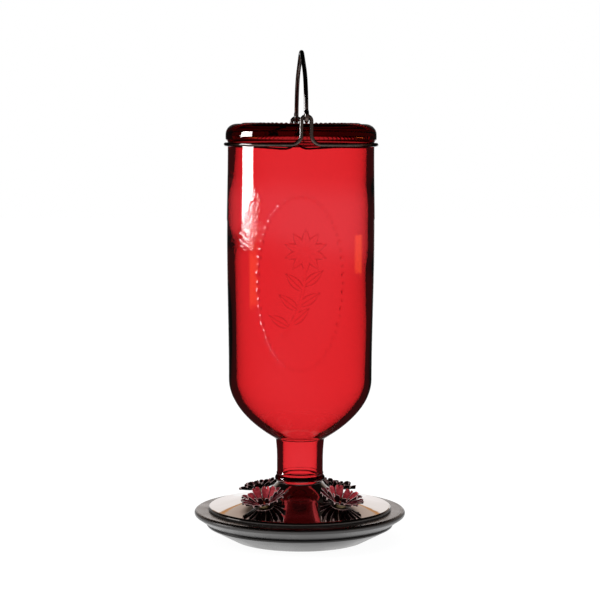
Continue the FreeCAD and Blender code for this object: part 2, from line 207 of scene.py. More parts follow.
room_mirror = mirror_ray(room, room_path)
sweep_light = tree_pick(room, room_path["Is Singular Ray"], 1.0, SWEEP_IN_GLASS)
towards_sweep = tree_step(
    room, room_compass["Y"], *SWEEP_SIDE, dim_side(room, room_path), sweep_light)
overhead = tree_pick(
    room, more_than(room, room_path["Transmission Depth"], ONE_WALL), CEILING_RED, THROUGH_DIM)
through_glass = tree_step(
    room, room_axes["Z"], *CEILING_EDGE, past_walls(room, room_path, room_compass["Y"]), overhead)
window = tree_product(
    room,
    tree_math(room, "GREATER_THAN", room_compass["Y"], WINDOW_SIDE[0]),
    tree_math(room, "LESS_THAN", room_compass["Y"], WINDOW_SIDE[1]),
    tree_math(room, "LESS_THAN", room_axes["X"], 0.0),
    tree_math(room, "LESS_THAN", room_axes["Z"], WINDOW_TOP),
    tree_step(room, room_axes["Z"], *WINDOW_FOOT, 0.0, 1.0),
    tree_pick(room, room_path["Is Singular Ray"], WINDOW_SOFT, WINDOW_LIGHT),
    tree_pick(room, more_than(room, room_path["Ray Depth"], FIRST_MIRROR), 1.0, WINDOW_AGAIN))
white_share = tree_sum(
    room,
    tree_product(room, room_path["Is Diffuse Ray"], ROOM_LIGHT),
    room_path["Is Camera Ray"],
    tree_product(room, room_path["Is Transmission Ray"], through_glass),
    tree_product(room, room_mirror, window))
room_ramp = room.nodes.new("ShaderNodeValToRGB")
room.links.new(room_axes["Z"], room_ramp.inputs["Fac"])
for band_place, band_color in ROOM_BANDS[1:-1]:
    room_ramp.color_ramp.elements.new(band_place).color = (*band_color, 1.0)
room_ramp.color_ramp.elements[0].color = (*ROOM_BANDS[0][1], 1.0)
room_ramp.color_ramp.elements[-1].color = (*ROOM_BANDS[-1][1], 1.0)
bands_seen = tree_vector(
    room, "SCALE", room_ramp.outputs["Color"], tree_product(room, room_mirror, towards_sweep))
room_glow = room.nodes.new("ShaderNodeBackground")
room_out = room.nodes.new("ShaderNodeOutputWorld")
room.links.new(tree_vector(room, "ADD", bands_seen, white_share), room_glow.inputs["Color"])
room.links.new(room_glow.outputs[0], room_out.inputs["Surface"])


# Softboxes: one close on the left, a weaker one on the right, both standing on the table.
# They light the matt surfaces; what glass and metal mirror is part of the room.
def softbox(name, turn_degrees, distance, low, high, width, watts):
    turn = math.radians(turn_degrees) - CAMERA_TURN
    place = Vector((math.sin(turn) * distance, -math.cos(turn) * distance, (low + high) / 2))
    bpy.ops.object.light_add(type="AREA", location=place)
    lamp = bpy.context.object
    lamp.name = name
    lamp.data.shape = "RECTANGLE"
    lamp.data.size = width
    lamp.data.size_y = high - low
    lamp.data.energy = watts
    lamp.rotation_mode = "QUATERNION"
    lamp.rotation_quaternion = Vector((-place.x, -place.y, 0.0)).to_track_quat("-Z", "Y")
    lamp.visible_camera = False
    lamp.visible_transmission = False
    lamp.visible_glossy = False


softbox(
    "softbox_left", turn_degrees=-74.0, distance=1.0, low=0.12, high=1.0, width=0.44, watts=7.0)
softbox(
    "softbox_right", turn_degrees=62.0, distance=1.2, low=0.1, high=1.0, width=0.5, watts=5.0)

# Floor: white sweep paper. To the lens it is as white as the room, with a soft shadow.
# Glass and metal see it bright near the feeder and behind it, with two warm cards at the sides.
FLOOR_WIDTH = 8.0
PAPER_WHITE = 0.9
PAPER_GLOW = 0.8
PAPER_LENS = 1.15
PAPER_NEAR = (0.2, 0.5)
PAPER_CENTRE = 0.001
CARD_COLOR = (3.4, 0.55, 0.1)
CARD_EDGE = 0.12
CARDS = (
    {"side": "LESS_THAN", "compass": (-0.42, -0.02), "reach": (1.0, 2.3)},
    {"side": "GREATER_THAN", "compass": (-0.02, 0.38), "reach": (1.55, 3.5)})

bpy.ops.object.select_all(action="DESELECT")
bpy.ops.mesh.primitive_plane_add(size=FLOOR_WIDTH)
floor = bpy.context.object
floor.name = "floor"
floor_paper = bpy.data.materials.new("sweep_paper")
floor_paper.use_nodes = True
paper = floor_paper.node_tree
paper.nodes.clear()
paper_path = paper.nodes.new("ShaderNodeLightPath").outputs
paper_place = turned_to_lens(paper, "Object")
paper_axes = split_axes(paper, paper_place)
paper_reach = tree_math(
    paper, "MAXIMUM", tree_vector(paper, "LENGTH", paper_place), PAPER_CENTRE)
paper_behind = tree_math(paper, "DIVIDE", paper_axes["Y"], paper_reach)
paper_far = tree_step(paper, paper_behind, *SWEEP_SIDE, dim_side(paper, paper_path), 1.0)
paper_close = tree_pick(paper, paper_path["Is Singular Ray"], 1.0, paper_far)
paper_mirrored = tree_step(paper, paper_reach, *PAPER_NEAR, paper_close, paper_far)
paper_crossed = past_walls(paper, paper_path, paper_behind)
paper_seen = tree_sum(
    paper,
    tree_product(paper, mirror_ray(paper, paper_path), paper_mirrored),
    tree_product(paper, paper_path["Is Transmission Ray"], paper_crossed),
    tree_product(paper, paper_path["Is Camera Ray"], PAPER_LENS))


def card_span(value, start, end):
    """1 between a card's two edges, which are soft."""
    rising = tree_step(paper, value, start, start + CARD_EDGE, 0.0, 1.0)
    falling = tree_step(paper, value, end - CARD_EDGE, end, 1.0, 0.0)
    return tree_product(paper, rising, falling)


paper_cards = tree_sum(paper, *(
    tree_product(
        paper, tree_math(paper, card["side"], paper_axes["X"], 0.0),
        card_span(paper_behind, *card["compass"]), card_span(paper_reach, *card["reach"]))
    for card in CARDS))
paper_cards = tree_product(
    paper, paper_cards, mirror_ray(paper, paper_path), paper_path["Is Singular Ray"])
paper_warm = tree_vector(paper, "SCALE", CARD_COLOR, paper_cards)
paper_share = tree_product(
    paper, tree_math(paper, "SUBTRACT", 1.0, paper_path["Is Diffuse Ray"]),
    tree_pick(paper, paper_path["Is Camera Ray"], 1.0, PAPER_GLOW))
paper_matt = paper.nodes.new("ShaderNodeBsdfDiffuse")
paper_matt.inputs["Color"].default_value = (PAPER_WHITE, PAPER_WHITE, PAPER_WHITE, 1.0)
paper_bright = paper.nodes.new("ShaderNodeEmission")
paper.links.new(tree_vector(paper, "ADD", paper_warm, paper_seen), paper_bright.inputs["Color"])
paper_mix = paper.nodes.new("ShaderNodeMixShader")
paper.links.new(paper_share, paper_mix.inputs["Fac"])
paper.links.new(paper_matt.outputs[0], paper_mix.inputs[1])
paper.links.new(paper_bright.outputs[0], paper_mix.inputs[2])
paper_out = paper.nodes.new("ShaderNodeOutputMaterial")
paper.links.new(paper_mix.outputs[0], paper_out.inputs["Surface"])
floor.data.materials.append(floor_paper)

# Dish: spun from one steel disc on a lathe, satin, with lines round it from the tool.
# It keeps the CAD solid; painted by height: a painted reflection lightens the bowl below, painted
# shade darkens the groove and a painted highlight lightens the flange.
# The sleeve in the cover's throat is the same metal.
LINE_SCALE = 1.0
LINE_PITCH = 1300.0
LINE_ROUND = 14.0
LINE_DETAIL = 3.0
LINE_DEPTH = 0.0002
LINE_PATCHES = 60.0
GRAIN_DETAIL = 4.0
GRAIN_DEPTH = 0.0003
GRAIN_PATCHES = (110.0, 2.0)
MASK_ENDS = (0.3, 0.7)
# Painted light on the dish by height: painted reflection on the bowl, painted shade in the groove,
# painted highlight on the flange.
DISH_TOP = 0.016
PAINTED_LIGHT_MOST = 2.5
DISH_PAINTED_LIGHT = [
    (0.0, 1.5), (0.22, 0.95), (0.42, 0.42), (0.5, 0.3), (0.535, 0.2), (0.575, 0.2), (0.61, 0.5),
    (0.88, 0.62), (0.93, 1.6), (0.955, 2.1), (1.0, 2.1)]


def new_group(name, inputs, outputs):
    group = bpy.data.node_groups.new(name, "ShaderNodeTree")
    for socket_name, kind in inputs:
        group.interface.new_socket(name=socket_name, in_out="INPUT", socket_type=kind)
    for socket_name, kind in outputs:
        group.interface.new_socket(name=socket_name, in_out="OUTPUT", socket_type=kind)
    return group, group.nodes.new("NodeGroupInput"), group.nodes.new("NodeGroupOutput")


def object_place(tree):
    return tree.nodes.new("ShaderNodeTexCoord").outputs["Object"]


def reach_from_axis(tree, place):
    """How far a point lies from the feeder's middle line."""
    return tree_vector(tree, "LENGTH", tree_vector(tree, "MULTIPLY", place, LEVEL))


def tree_noise(tree, vector, scale, detail):
    """Noise of a scale that is a number or a socket."""
    noise = tree.nodes.new("ShaderNodeTexNoise")
    noise.inputs["Detail"].default_value = detail
    tree.links.new(vector, noise.inputs["Vector"])
    if isinstance(scale, float):
        noise.inputs["Scale"].default_value = scale
    else:
        tree.links.new(scale, noise.inputs["Scale"])
    return noise.outputs["Fac"]


def tree_bump(tree, height, strength, distance, target):
    bump = tree.nodes.new("ShaderNodeBump")
    bump.inputs["Distance"].default_value = distance
    tree.links.new(strength, bump.inputs["Strength"])
    tree.links.new(height, bump.inputs["Height"])
    tree.links.new(bump.outputs["Normal"], target)


lathe_lines, lathe_in, lathe_out = new_group(
    "lathe_lines",
    [("Strength", "NodeSocketFloat")],
    [("Lines", "NodeSocketFloat"), ("Patches", "NodeSocketFloat"), ("Normal", "NodeSocketVector")])
lathe_place = object_place(lathe_lines)
lathe_axes = split_axes(lathe_lines, lathe_place)
lathe_point = lathe_lines.nodes.new("ShaderNodeCombineXYZ")
for lathe_axis, lathe_value, lathe_scale in (
        ("X", reach_from_axis(lathe_lines, lathe_place), LINE_PITCH),
        ("Y", lathe_axes["Z"], LINE_PITCH),
        ("Z", lathe_axes["X"], LINE_ROUND)):
    lathe_lines.links.new(
        tree_product(lathe_lines, lathe_value, lathe_scale), lathe_point.inputs[lathe_axis])
lathe_noise = tree_noise(lathe_lines, lathe_point.outputs[0], LINE_SCALE, LINE_DETAIL)
lathe_patches = tree_noise(lathe_lines, lathe_place, LINE_PATCHES, LINE_DETAIL)
lathe_lines.links.new(lathe_noise, lathe_out.inputs["Lines"])
lathe_lines.links.new(lathe_patches, lathe_out.inputs["Patches"])
tree_bump(
    lathe_lines, lathe_noise, lathe_in.outputs["Strength"], LINE_DEPTH, lathe_out.inputs["Normal"])

fine_grain, grain_in, grain_out = new_group(
    "fine_grain",
    [("Scale", "NodeSocketFloat"), ("Strength", "NodeSocketFloat")],
    [("Grain", "NodeSocketFloat"), ("Patches", "NodeSocketFloat"), ("Normal", "NodeSocketVector")])
grain_place = object_place(fine_grain)
grain_noise = tree_noise(fine_grain, grain_place, grain_in.outputs["Scale"], GRAIN_DETAIL)
grain_patches = tree_noise(fine_grain, grain_place, *GRAIN_PATCHES)
fine_grain.links.new(grain_noise, grain_out.inputs["Grain"])
fine_grain.links.new(grain_patches, grain_out.inputs["Patches"])
tree_bump(
    fine_grain, grain_noise, grain_in.outputs["Strength"], GRAIN_DEPTH, grain_out.inputs["Normal"])


def finish(name, dark, light, rough, metallic, group, settings, mask_name):
    """A material whose colour and roughness run between two ends with a mask of a group."""
    material = bpy.data.materials.new(name)
    material.use_nodes = True
    tree = material.node_tree
    shader = tree.nodes["Principled BSDF"]
    shader.inputs["Metallic"].default_value = metallic
    effect = tree.nodes.new("ShaderNodeGroup")
    effect.node_tree = group
    for socket_name, value in settings.items():
        effect.inputs[socket_name].default_value = value
    ramp = tree.nodes.new("ShaderNodeValToRGB")
    for element, place, color in zip(ramp.color_ramp.elements, MASK_ENDS, (dark, light)):
        element.position = place
        element.color = (*color, 1.0)
    tree.links.new(effect.outputs[mask_name], ramp.inputs["Fac"])
    tree.links.new(ramp.outputs["Color"], shader.inputs["Base Color"])
    tree.links.new(
        tree_step(tree, effect.outputs["Patches"], *MASK_ENDS, *rough), shader.inputs["Roughness"])
    tree.links.new(effect.outputs["Normal"], shader.inputs["Normal"])
    return material


def paint_light_into_color(material, share):
    """Scales a finish's colour by a share that changes over the surface, to paint light and shade
    into it.
    """
    tree = material.node_tree
    color = tree.nodes["Principled BSDF"].inputs["Base Color"]
    tree.links.new(tree_vector(tree, "SCALE", color.links[0].from_socket, share), color)


def dress(material, *names):
    for name in names:
        mesh = nodes[name].data
        mesh.materials.clear()
        mesh.materials.append(material)


dish_metal = finish(
    "dish_metal", dark=(0.12, 0.117, 0.116), light=(0.2, 0.195, 0.193), rough=(0.24, 0.34),
    metallic=1.0, group=lathe_lines, settings={"Strength": 0.16}, mask_name="Lines")
dish_tree = dish_metal.node_tree
dish_height = split_axes(dish_tree, object_place(dish_tree))["Z"]
painted_light_ramp = dish_tree.nodes.new("ShaderNodeFloatCurve")
painted_light_curve = painted_light_ramp.mapping.curves[0]
for painted_light_spot, painted_light_level in DISH_PAINTED_LIGHT[1:-1]:
    painted_light_curve.points.new(painted_light_spot, painted_light_level / PAINTED_LIGHT_MOST)
painted_light_curve.points[0].location = (0.0, DISH_PAINTED_LIGHT[0][1] / PAINTED_LIGHT_MOST)
painted_light_curve.points[-1].location = (1.0, DISH_PAINTED_LIGHT[-1][1] / PAINTED_LIGHT_MOST)
for painted_light_point in painted_light_curve.points:
    painted_light_point.handle_type = "VECTOR"
painted_light_ramp.mapping.update()
dish_tree.links.new(
    tree_math(dish_tree, "DIVIDE", dish_height, DISH_TOP), painted_light_ramp.inputs["Value"])
# Paints light and shade into the dish's colour by its height.
paint_light_into_color(dish_metal, tree_product(dish_tree, painted_light_ramp.outputs["Value"], PAINTED_LIGHT_MOST))
dress(dish_metal, "dish", "collar")

# Cover: a spun bell, polished nearly to a mirror, with faint lathe lines and finger marks.
# It keeps the CAD solid with its three lugs; painted shade darkens its edge.
# The rim band is painted shade: the rolled edge is darkened to stand for the dark it mirrors.
COVER_RIM = (0.0462, 0.0468)
COVER_RIM_PAINTED_SHADE = 0.16
cover_metal = finish(
    "cover_metal", dark=(0.74, 0.69, 0.66), light=(0.84, 0.8, 0.78), rough=(0.02, 0.045),
    metallic=1.0, group=lathe_lines, settings={"Strength": 0.015}, mask_name="Patches")
cover_tree = cover_metal.node_tree
cover_reach = reach_from_axis(cover_tree, object_place(cover_tree))
# Paints shade into the colour of the cover's rim.
paint_light_into_color(cover_metal, tree_step(cover_tree, cover_reach, *COVER_RIM, 1.0, COVER_RIM_PAINTED_SHADE))
dress(cover_metal, "cover")

# Rubber: the ring under the cover's edge and the washer under the bottle's mouth.
# Both are moulded black rubber, matt, and keep the CAD solids.
rubber = finish(
    "black_rubber", dark=(0.012, 0.012, 0.012), light=(0.035, 0.034, 0.033), rough=(0.6, 0.8),
    metallic=0.0, group=fine_grain, settings={"Scale": 2500.0, "Strength": 0.3},
    mask_name="Grain")
dress(rubber, "cover_gasket", "bottle_seal")

# Bottle: one piece of ruby glass, blown in a mould, mouth down, with a solid heel on top.
# Its wall is uneven inside; outside it carries a raised sprig in an oval of beads, outlined with
# painted shade.
MM = 0.001
MERGED = 0.001
SPIN_STEPS = 192
MOUTH_HEIGHT = 15.55
BORE_RADIUS = 6.8
NECK_BORE = 8.8
FINISH_RADIUS = 10.2
MOUTH_ROUND = 0.6
BEAD_BOTTOM = 30.2
BEAD_RADIUS = 12.85
BEAD_HALF = 1.6
CREASE = (12.5, 52.0)
SHOULDER_LEAVES = (24.6, 59.0)
SHOULDER_ARRIVES = (36.6, 70.0)
BODY_FOOT = (36.6, 83.0)
BELLY = (37.6, 155.5)
WAIST = (37.1, 200.0)
WAIST_MIDDLE = 201.6
WAIST_TOP = 203.2
BULGE = (38.2, 204.9)
BULGE_TOP = 207.3
HEEL_EDGE = 32.6
BOTTLE_TOP = 212.5
PUNT_EDGE = 27.6
PUNT_DEPTH = 1.8
BODY_RING = 2.0


def eased(share):
    return share * share * (3 - 2 * share)


def body_radius(height):
    """The outer wall's radius between the shoulder and the waist."""
    low, high = BODY_FOOT, BELLY
    rising = np.clip((height - low[1]) / (high[1] - low[1]), 0, 1)
    falling = np.clip((height - high[1]) / (WAIST[1] - high[1]), 0, 1)
    return low[0] + (high[0] - low[0]) * eased(rising) + (WAIST[0] - high[0]) * eased(falling)


def round_points(centre, radius, start, end, count):
    """Points of an arc of the outline; angles in degrees, 0 points outwards and 90 up."""
    points = []
    for step in range(count + 1):
        angle = math.radians(start + (end - start) * step / count)
        across = centre[0] + radius[0] * math.cos(angle)
        points.append((across, centre[1] + radius[1] * math.sin(angle)))
    return points


def bezier_points(start, leaving, arriving, end, count):
    """Points of the outline along a curve that two more points pull on."""
    points = []
    for step in range(count + 1):
        t = step / count
        s = 1 - t
        weights = (s ** 3, 3 * s * s * t, 3 * s * t * t, t ** 3)
        corners = (start, leaving, arriving, end)
        points.append(tuple(
            sum(w * c[axis] for w, c in zip(weights, corners)) for axis in (0, 1)))
    return points


def spun_piece(name, outline, steps):
    """Draws an outline of (radius, height) in millimetres as a line of edges and spins it."""
    bpy.ops.object.select_all(action="DESELECT")
    first = Vector((outline[0][0], 0.0, outline[0][1])) * MM
    bpy.ops.mesh.primitive_plane_add(size=MM, location=first)
    piece = bpy.context.object
    piece.name = name
    bpy.ops.object.transform_apply(location=True, rotation=True, scale=True)
    bpy.ops.object.mode_set(mode="EDIT")
    bpy.ops.mesh.select_all(action="SELECT")
    bpy.ops.mesh.merge(type="CENTER")
    for (r0, h0), (r1, h1) in zip(outline, outline[1:]):
        shift = ((r1 - r0) * MM, 0.0, (h1 - h0) * MM)
        bpy.ops.mesh.extrude_region_move(TRANSFORM_OT_translate={"value": shift})
    bpy.ops.mesh.select_all(action="SELECT")
    bpy.ops.mesh.spin(steps=steps, angle=2 * math.pi, center=(0, 0, 0), axis=(0, 0, 1))
    bpy.ops.mesh.select_all(action="SELECT")
    bpy.ops.mesh.remove_doubles(threshold=MERGED * MM)
    bpy.ops.mesh.normals_make_consistent(inside=False)
    bpy.ops.object.mode_set(mode="OBJECT")
    bpy.ops.object.shade_smooth()
    return piece


NECK_WALL = [
    (12.05, 33.5), (12.05, 34.6), (12.04, 34.7), (11.82, 35.0), (11.805, 35.1), (11.8, 35.6),
    (11.8, 39.0), (11.82, 43.2), (11.95, 46.3), (12.2, 49.6), (12.4, 51.3)]
BULGE_WALL = [(37.3, 203.7), (37.7, 204.1), (38.05, 204.5), BULGE, (38.25, 206.1)]
TOP_RINGS = (31.6, 30.7, 29.8, 28.9, 28.2, PUNT_EDGE)
PUNT_RINGS = (0.85, 0.7, 0.5, 0.3, 0.15, 0.0)

wall_outside = [(BORE_RADIUS, MOUTH_HEIGHT)]
wall_outside += round_points(
    (FINISH_RADIUS - MOUTH_ROUND, MOUTH_HEIGHT + MOUTH_ROUND), (MOUTH_ROUND, MOUTH_ROUND),
    start=-90, end=0, count=4)
wall_outside += [(FINISH_RADIUS, BEAD_BOTTOM)]
wall_outside += round_points(
    (BEAD_RADIUS - BEAD_HALF, BEAD_BOTTOM + BEAD_HALF), (BEAD_HALF, BEAD_HALF),
    start=-90, end=90, count=10)
wall_outside += NECK_WALL
wall_outside += bezier_points(CREASE, SHOULDER_LEAVES, SHOULDER_ARRIVES, BODY_FOOT, count=26)
wall_outside += [
    (float(body_radius(height)), float(height))
    for height in np.arange(BODY_FOOT[1] + BODY_RING, WAIST[1], BODY_RING)]
wall_outside += [WAIST, (WAIST[0], WAIST_MIDDLE), (WAIST[0], WAIST_TOP)]
wall_outside += BULGE_WALL
wall_outside += round_points(
    (HEEL_EDGE, BULGE_TOP), (BULGE[0] - HEEL_EDGE, BOTTLE_TOP - BULGE_TOP),
    start=0, end=90, count=14)
wall_outside += [(radius, BOTTLE_TOP) for radius in TOP_RINGS]
punt_sphere = (PUNT_EDGE ** 2 + PUNT_DEPTH ** 2) / (2 * PUNT_DEPTH)
for share in PUNT_RINGS:
    radius = PUNT_EDGE * share
    sink = PUNT_DEPTH - punt_sphere + math.sqrt(punt_sphere ** 2 - radius ** 2)
    wall_outside.append((radius, BOTTLE_TOP - sink))

WALL = 3.9
CEILING = 206.5
CEILING_BEND = 5.2
CEILING_RINGS = (18.0, 9.0, 0.0)
INNER_RING = 3.0
INNER_NECK = [
    (BORE_RADIUS, 24.0), (7.4, 28.0), (8.3, 31.5), (NECK_BORE, 34.0), (NECK_BORE, 40.0),
    (NECK_BORE, 46.0), (8.85, 50.0), (9.1, 52.4), (9.7, 54.1)]
INNER_CREASE = (10.9, 55.3)
INNER_LEAVES = (22.0, 61.7)
INNER_ARRIVES = (BODY_FOOT[0] - WALL, 71.5)
INNER_FOOT = (BODY_FOOT[0] - WALL, BODY_FOOT[1])

wall_inside = INNER_NECK + bezier_points(
    INNER_CREASE, INNER_LEAVES, INNER_ARRIVES, INNER_FOOT, count=24)
wall_inside += [
    (float(body_radius(height)) - WALL, float(height))
    for height in np.arange(BODY_FOOT[1] + INNER_RING, WAIST[1], INNER_RING)]
wall_inside += round_points(
    (WAIST[0] - WALL - CEILING_BEND, CEILING - CEILING_BEND), (CEILING_BEND, CEILING_BEND),
    start=0, end=90, count=8)
wall_inside += [(radius, CEILING) for radius in CEILING_RINGS]
bottle = spun_piece("bottle_glass", wall_inside[::-1] + wall_outside, SPIN_STEPS)


def mesh_points(piece):
    """The piece's corners in millimetres, as an array."""
    flat = np.empty(len(piece.data.vertices) * 3)
    piece.data.vertices.foreach_get("co", flat)
    return flat.reshape(-1, 3) / MM


def set_mesh_points(piece, points):
    piece.data.vertices.foreach_set("co", (points * MM).ravel())
    piece.data.update()


def subdivide_where(piece, chosen, cuts):
    """Cuts the faces up whose middle lies in the chosen place."""
    middles = np.empty(len(piece.data.polygons) * 3)
    piece.data.polygons.foreach_get("center", middles)
    picked = chosen(middles.reshape(-1, 3) / MM)
    bpy.ops.object.select_all(action="DESELECT")
    piece.select_set(True)
    bpy.context.view_layer.objects.active = piece
    bpy.ops.object.mode_set(mode="EDIT")
    bpy.ops.mesh.select_mode(type="FACE")
    bpy.ops.mesh.select_all(action="DESELECT")
    bpy.ops.object.mode_set(mode="OBJECT")
    piece.data.polygons.foreach_set("select", picked)
    bpy.ops.object.mode_set(mode="EDIT")
    bpy.ops.mesh.subdivide(number_cuts=cuts)
    bpy.ops.object.mode_set(mode="OBJECT")


RELIEF_SIDE = 26.0
RELIEF_LOW = 86.0
RELIEF_HIGH = 182.0
RELIEF_HEIGHT = 0.5
RELIEF_CUTS = 4
KNURLS = 72
KNURL_RADIUS = 28.4
KNURL_HALF = 1.9
KNURL_HEIGHT = 0.55
KNURL_FIELD = (26.0, 31.5)
KNURL_CUTS = 1
TOP_FACE = BOTTLE_TOP - 0.3


def round_the_wall(points):
    """For each point: its radius, and its way round the wall from the lens side."""
    side = points[:, 0] * camera_side.x + points[:, 1] * camera_side.y
    towards = -(points[:, 0] * camera_away.x + points[:, 1] * camera_away.y)
    return np.hypot(side, towards), np.arctan2(side, towards)


def relief_place(points):
    radius, turn = round_the_wall(points)
    across = np.abs(turn) * BELLY[0] < RELIEF_SIDE
    up = (points[:, 2] > RELIEF_LOW) & (points[:, 2] < RELIEF_HIGH)
    return across & up & (radius > BODY_FOOT[0] - WALL / 2)


def knurl_place(points):
    radius = np.hypot(points[:, 0], points[:, 1])
    return (points[:, 2] > TOP_FACE) & (radius > KNURL_FIELD[0]) & (radius < KNURL_FIELD[1])


subdivide_where(bottle, relief_place, RELIEF_CUTS)
subdivide_where(bottle, knurl_place, KNURL_CUTS)

STEM = ((-9.0, 108.0), (3.0, 122.0), (2.0, 144.0))
STEM_STEPS = 60
STEM_HALF = 0.75
LEAVES = [(0.16, -62), (0.2, 48), (0.42, -52), (0.48, 58), (0.68, -46), (0.74, 52)]
LEAF_SIZE = (12.5, 5.2)
LEAF_VEIN = 0.6
LEAF_POINT = 0.8
VEIN_HALF = 0.4
BLOSSOM = (2.5, 150.0)
BLOSSOM_PETALS = 10
BLOSSOM_PETAL_SIZE = (11.0, 5.0)
BLOSSOM_PETAL_VEIN = 0.4
BLOSSOM_PETAL_HEIGHT = 0.9
BLOSSOM_EYE = (2.6, 1.3)
OVAL_CENTRE = (0.0, 134.0)
OVAL_HALVES = (22.5, 43.0)
OVAL_BEADS = 64
OVAL_BEAD_SIZES = (0.8, 1.25)
SMALLEST = 0.01


def leaf(across, up, foot, size, lean_degrees, vein):
    """Height, from 0 to 1, of a pointed leaf that grows from its foot."""
    lean = math.radians(lean_degrees)
    along = ((across - foot[0]) * math.sin(lean) + (up - foot[1]) * math.cos(lean)) / size[0]
    aside = (across - foot[0]) * math.cos(lean) - (up - foot[1]) * math.sin(lean)
    half = size[1] / 2 * np.sin(np.pi * np.clip(along, 0, 1) ** LEAF_POINT)
    share = np.clip(1 - np.abs(aside) / np.maximum(half, SMALLEST), 0, 1)
    inside = (along > 0) & (along < 1)
    groove = 1 - vein * np.exp(-(aside / VEIN_HALF) ** 2)
    return np.where(inside, np.sqrt(share) * groove, 0)


def bead(across, up, centre, radius):
    apart = np.hypot(across - centre[0], up - centre[1]) / radius
    return np.sqrt(np.clip(1 - apart ** 2, 0, 1))


def stem_point(t):
    """A point of the stem's curve, which is bent between its foot and the blossom."""
    weights = ((1 - t) ** 2, 2 * t * (1 - t), t * t)
    return tuple(sum(w * spot[axis] for w, spot in zip(weights, STEM)) for axis in (0, 1))


def sprig(across, up):
    """Height, from 0 up, of the stem, its leaves, the blossom and the oval of beads."""
    parts = [
        bead(across, up, stem_point(step / STEM_STEPS), STEM_HALF)
        for step in range(STEM_STEPS + 1)]
    for place, lean in LEAVES:
        parts.append(leaf(across, up, stem_point(place), LEAF_SIZE, lean, LEAF_VEIN))
    for index in range(BLOSSOM_PETALS):
        lean = 360 * index / BLOSSOM_PETALS
        part = leaf(across, up, BLOSSOM, BLOSSOM_PETAL_SIZE, lean, BLOSSOM_PETAL_VEIN)
        parts.append(part * BLOSSOM_PETAL_HEIGHT)
    parts.append(bead(across, up, BLOSSOM, BLOSSOM_EYE[0]) * BLOSSOM_EYE[1])
    for index in range(OVAL_BEADS):
        angle = 2 * math.pi * index / OVAL_BEADS
        centre = (
            OVAL_CENTRE[0] + OVAL_HALVES[0] * math.sin(angle),
            OVAL_CENTRE[1] + OVAL_HALVES[1] * math.cos(angle))
        size = OVAL_BEAD_SIZES[index % 2]
        parts.append(bead(across, up, centre, size) * size)
    height = np.zeros_like(across)
    for part in parts:
        height = np.maximum(height, part)
    return height


THIN_WALL = 1.9
THIN_HEIGHT = (165.0, 4.0)
THIN_HALF = (19.0, 3.0)
THIN_POWER = 4
WAVES = ((0.2, 3, 24.0, 0.0), (0.12, 5, -17.0, 1.0))
INNER_LOW = 60.0
INNER_HIGH = CEILING - 2.0
INNER_FADE = (20.0, 12.0)
EDGE_LEVEL = (0.35, 0.25)

points = mesh_points(bottle)
radius, turn = round_the_wall(points)
height = points[:, 2]
on_body = (height > BODY_FOOT[1]) & (height < WAIST[1])
outside = on_body & (radius > body_radius(height) - WALL / 2)
inside = (height > INNER_LOW) & (height < INNER_HIGH) & (radius < body_radius(height) - WALL / 2)
relief = sprig(turn * BELLY[0], height) * relief_place(points)
outer = body_radius(height) + RELIEF_HEIGHT * relief
thin_middle = THIN_HEIGHT[0] - THIN_HEIGHT[1] * np.sin(turn)
thin_half = THIN_HALF[0] + THIN_HALF[1] * np.sin(turn)
thin = np.exp(-((height - thin_middle) / thin_half) ** THIN_POWER)
wave = sum(
    size * np.sin(count * turn + height / rise + start)
    for size, count, rise, start in WAVES)
fade = np.clip((height - INNER_LOW) / INNER_FADE[0], 0, 1)
fade = fade * np.clip((INNER_HIGH - height) / INNER_FADE[1], 0, 1)
scale = np.ones_like(radius)
scale[outside] = (outer / np.maximum(radius, 1))[outside]
scale[inside] = (1 + fade * (THIN_WALL * thin + wave) / np.maximum(radius, 1))[inside]
ring_share = np.clip(1 - ((radius - KNURL_RADIUS) / KNURL_HALF) ** 2, 0, 1)
knurl = np.clip(np.cos(KNURLS * turn), 0, 1) * np.sqrt(ring_share) * KNURL_HEIGHT
knurl = np.where(height > TOP_FACE, knurl, 0)
points[:, 0] *= scale
points[:, 1] *= scale
points[:, 2] += knurl
set_mesh_points(bottle, points)

# Painted shade on the glass: a share on each point that darkens the ruby colour along the raised
# relief's outlines.
relief_edge_shade = bottle.data.attributes.new("relief_edge_shade", "FLOAT", "POINT")
edge_shade_share = np.clip(1 - np.abs(relief * outside - EDGE_LEVEL[0]) / EDGE_LEVEL[1], 0, 1)
relief_edge_shade.data.foreach_set("value", edge_shade_share)

RUBY_CLEAR = (0.95, 0.29, 0.32, 1.0)
# The colour of the painted shade on the relief's outlines.
RUBY_EDGE_SHADE = (0.42, 0.08, 0.1, 1.0)
RUBY_DEPTH = (0.963, 0.05, 0.08, 1.0)
RUBY_DENSITY = 160.0
GLASS_SKIN = (600.0, 0.0004)
SKIN_CALM = 0.01
ROUGH_SLANT = 0.35
ROUGH_LEFT = (-0.0885, -0.086)
ROUGH_RIGHT = (-0.024, -0.018)
ROUGH_FOOT = (0.144, 0.168)
ROUGH_TOP = (0.176, 0.186)
ROUGH_FRONT = (-0.01, 0.0)

ruby = bpy.data.materials.new("ruby_glass")
ruby.use_nodes = True
ruby_tree = ruby.node_tree
ruby_nodes = ruby_tree.nodes
ruby_shader = ruby_nodes["Principled BSDF"]
ruby_edge_shade = ruby_nodes.new("ShaderNodeAttribute")
ruby_edge_shade.attribute_name = "relief_edge_shade"
